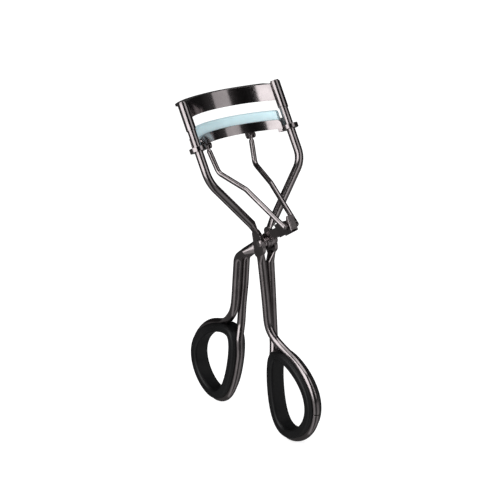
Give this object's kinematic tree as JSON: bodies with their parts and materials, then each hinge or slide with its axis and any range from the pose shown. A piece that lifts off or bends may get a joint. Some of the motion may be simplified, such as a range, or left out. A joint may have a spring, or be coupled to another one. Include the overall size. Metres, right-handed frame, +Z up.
{
  "type": "eyelash curler",
  "caption": "Scissor-handled eyelash curler: finger-ring handles drive a padded lower jaw up two guide wires to meet a curved upper jaw.",
  "frame": {"origin": "centre of the bounding box at its bottom, under the two finger rings on which the tool stands", "axes": "+X to the tool's right-hand side along the pivot, +Y to the back, toward which the jaws bow, +Z up from the finger rings to the jaws"},
  "size_m": [0.0394, 0.0598, 0.1024],
  "materials": {
    "black_chrome": "polished dark gunmetal chrome",
    "black_plastic": "satin",
    "blue_silicone": "soft satin silicone"
  },
  "bodies": {
    "frame": {"frame_wire_left": "black_chrome", "frame_wire_right": "black_chrome", "upper_jaw": "black_chrome", "frame_ring_liner": "black_plastic", "pivot_rivet": "black_chrome", "spacer_left": "black_chrome", "spacer_right": "black_chrome"},
    "lever": {"lever_wire_left": "black_chrome", "lever_wire_right": "black_chrome", "lever_ring_liner": "black_plastic", "link_bracket": "black_chrome"},
    "lower_jaw": {"lower_jaw": "black_chrome", "lash_pad": "blue_silicone"},
    "pusher": {"pusher_wire_left": "black_chrome", "pusher_wire_right": "black_chrome"}
  },
  "joints": [
    {"name": "lever_hinge", "type": "hinge", "parent": "frame", "child": "lever", "pos_m": [0, -0.00681, 0.05964], "axis": [-1, 0, 0], "range_deg": [-3, 11.8]},
    {"name": "jaw_slide", "type": "slide", "parent": "frame", "child": "lower_jaw", "axis": [0, 0.4942, 0.8693], "range_m": [-0.00075, 0.00295]},
    {"name": "pusher_hinge", "type": "hinge", "parent": "lower_jaw", "child": "pusher", "pos_m": [0, 0.01054, 0.0866], "axis": [1, 0, 0], "range_deg": [-0.24, 0.9]}
  ],
  "couplings": [
    {"joint": "jaw_slide", "follows": "lever_hinge", "m_per_rad": 0.014201},
    {"joint": "pusher_hinge", "follows": "lever_hinge", "ratio": 0.0747}
  ]
}
